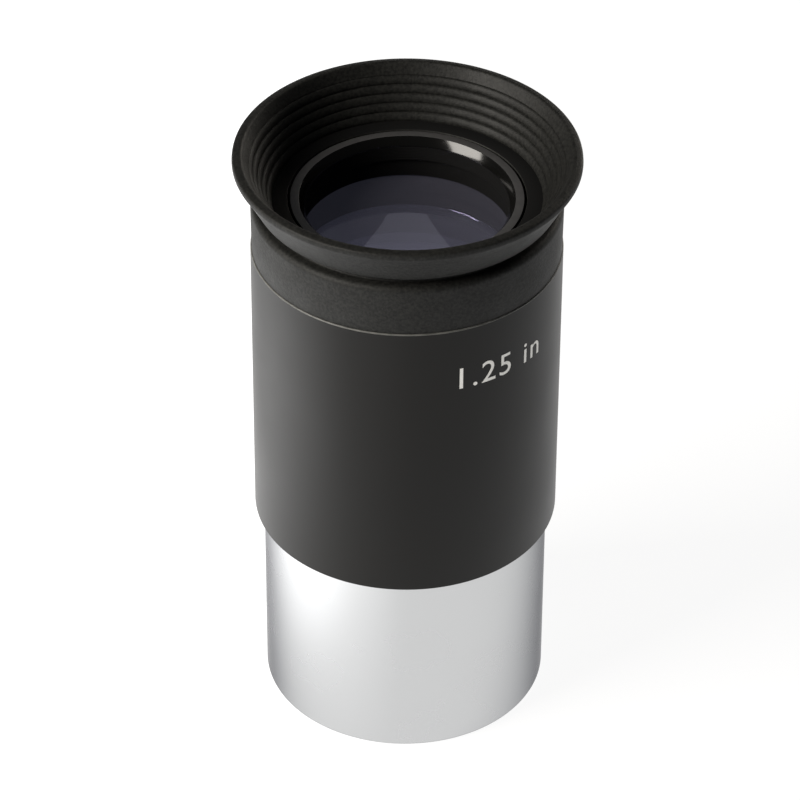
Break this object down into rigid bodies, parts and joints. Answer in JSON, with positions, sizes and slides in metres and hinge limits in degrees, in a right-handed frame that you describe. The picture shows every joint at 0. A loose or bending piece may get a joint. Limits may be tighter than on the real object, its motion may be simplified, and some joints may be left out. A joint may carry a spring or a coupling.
{
  "type": "telescope eyepiece",
  "caption": "Push-in telescope eyepiece: chrome barrel, black anodised housing with two cemented lens pairs, and a flared rubber eye guard that folds down.",
  "frame": {"origin": "on the optical axis at the open end of the barrel", "axes": "+Z along the optical axis, from the telescope towards the eye; X and Y are alike, the part being round"},
  "size_m": [0.0376, 0.0376, 0.0702],
  "materials": {
    "chrome_plate": "satin chrome plate on brass",
    "black_anodised": "satin black anodised",
    "black_rubber": "matte moulded",
    "coated_glass": "polished, anti-reflection coated"
  },
  "bodies": {
    "eyepiece": {"housing": "black_anodised", "field_lens_retaining_ring": "black_anodised", "field_flint_lens": "coated_glass", "field_crown_lens": "coated_glass", "lens_spacer": "black_anodised", "eye_crown_lens": "coated_glass", "eye_flint_lens": "coated_glass", "eye_lens_retaining_ring": "black_anodised", "eye_guard_sleeve": "black_rubber", "eye_guard_skirt": "black_rubber"},
    "guard_lip": {"eye_guard_lip": "black_rubber"},
    "stop_carrier": {"field_stop": "black_anodised"},
    "screwed_barrel": {"barrel": "chrome_plate"}
  },
  "joints": [
    {"name": "eye_guard_fold", "type": "slide", "parent": "eyepiece", "child": "guard_lip", "axis": [0, 0, -1], "range_m": [0, 0.008], "deforming": ["eye_guard_skirt"]},
    {"name": "barrel_travel", "type": "slide", "parent": "eyepiece", "child": "stop_carrier", "axis": [0, 0, -1], "range_m": [0, 0.0038]},
    {"name": "barrel_screw", "type": "hinge", "parent": "stop_carrier", "child": "screwed_barrel", "pos_m": [0, 0, 0.02367], "axis": [0, 0, -1], "range_deg": [0, 1800]}
  ],
  "couplings": [
    {"joint": "barrel_travel", "follows": "barrel_screw", "m_per_rad": 0.00011937}
  ]
}
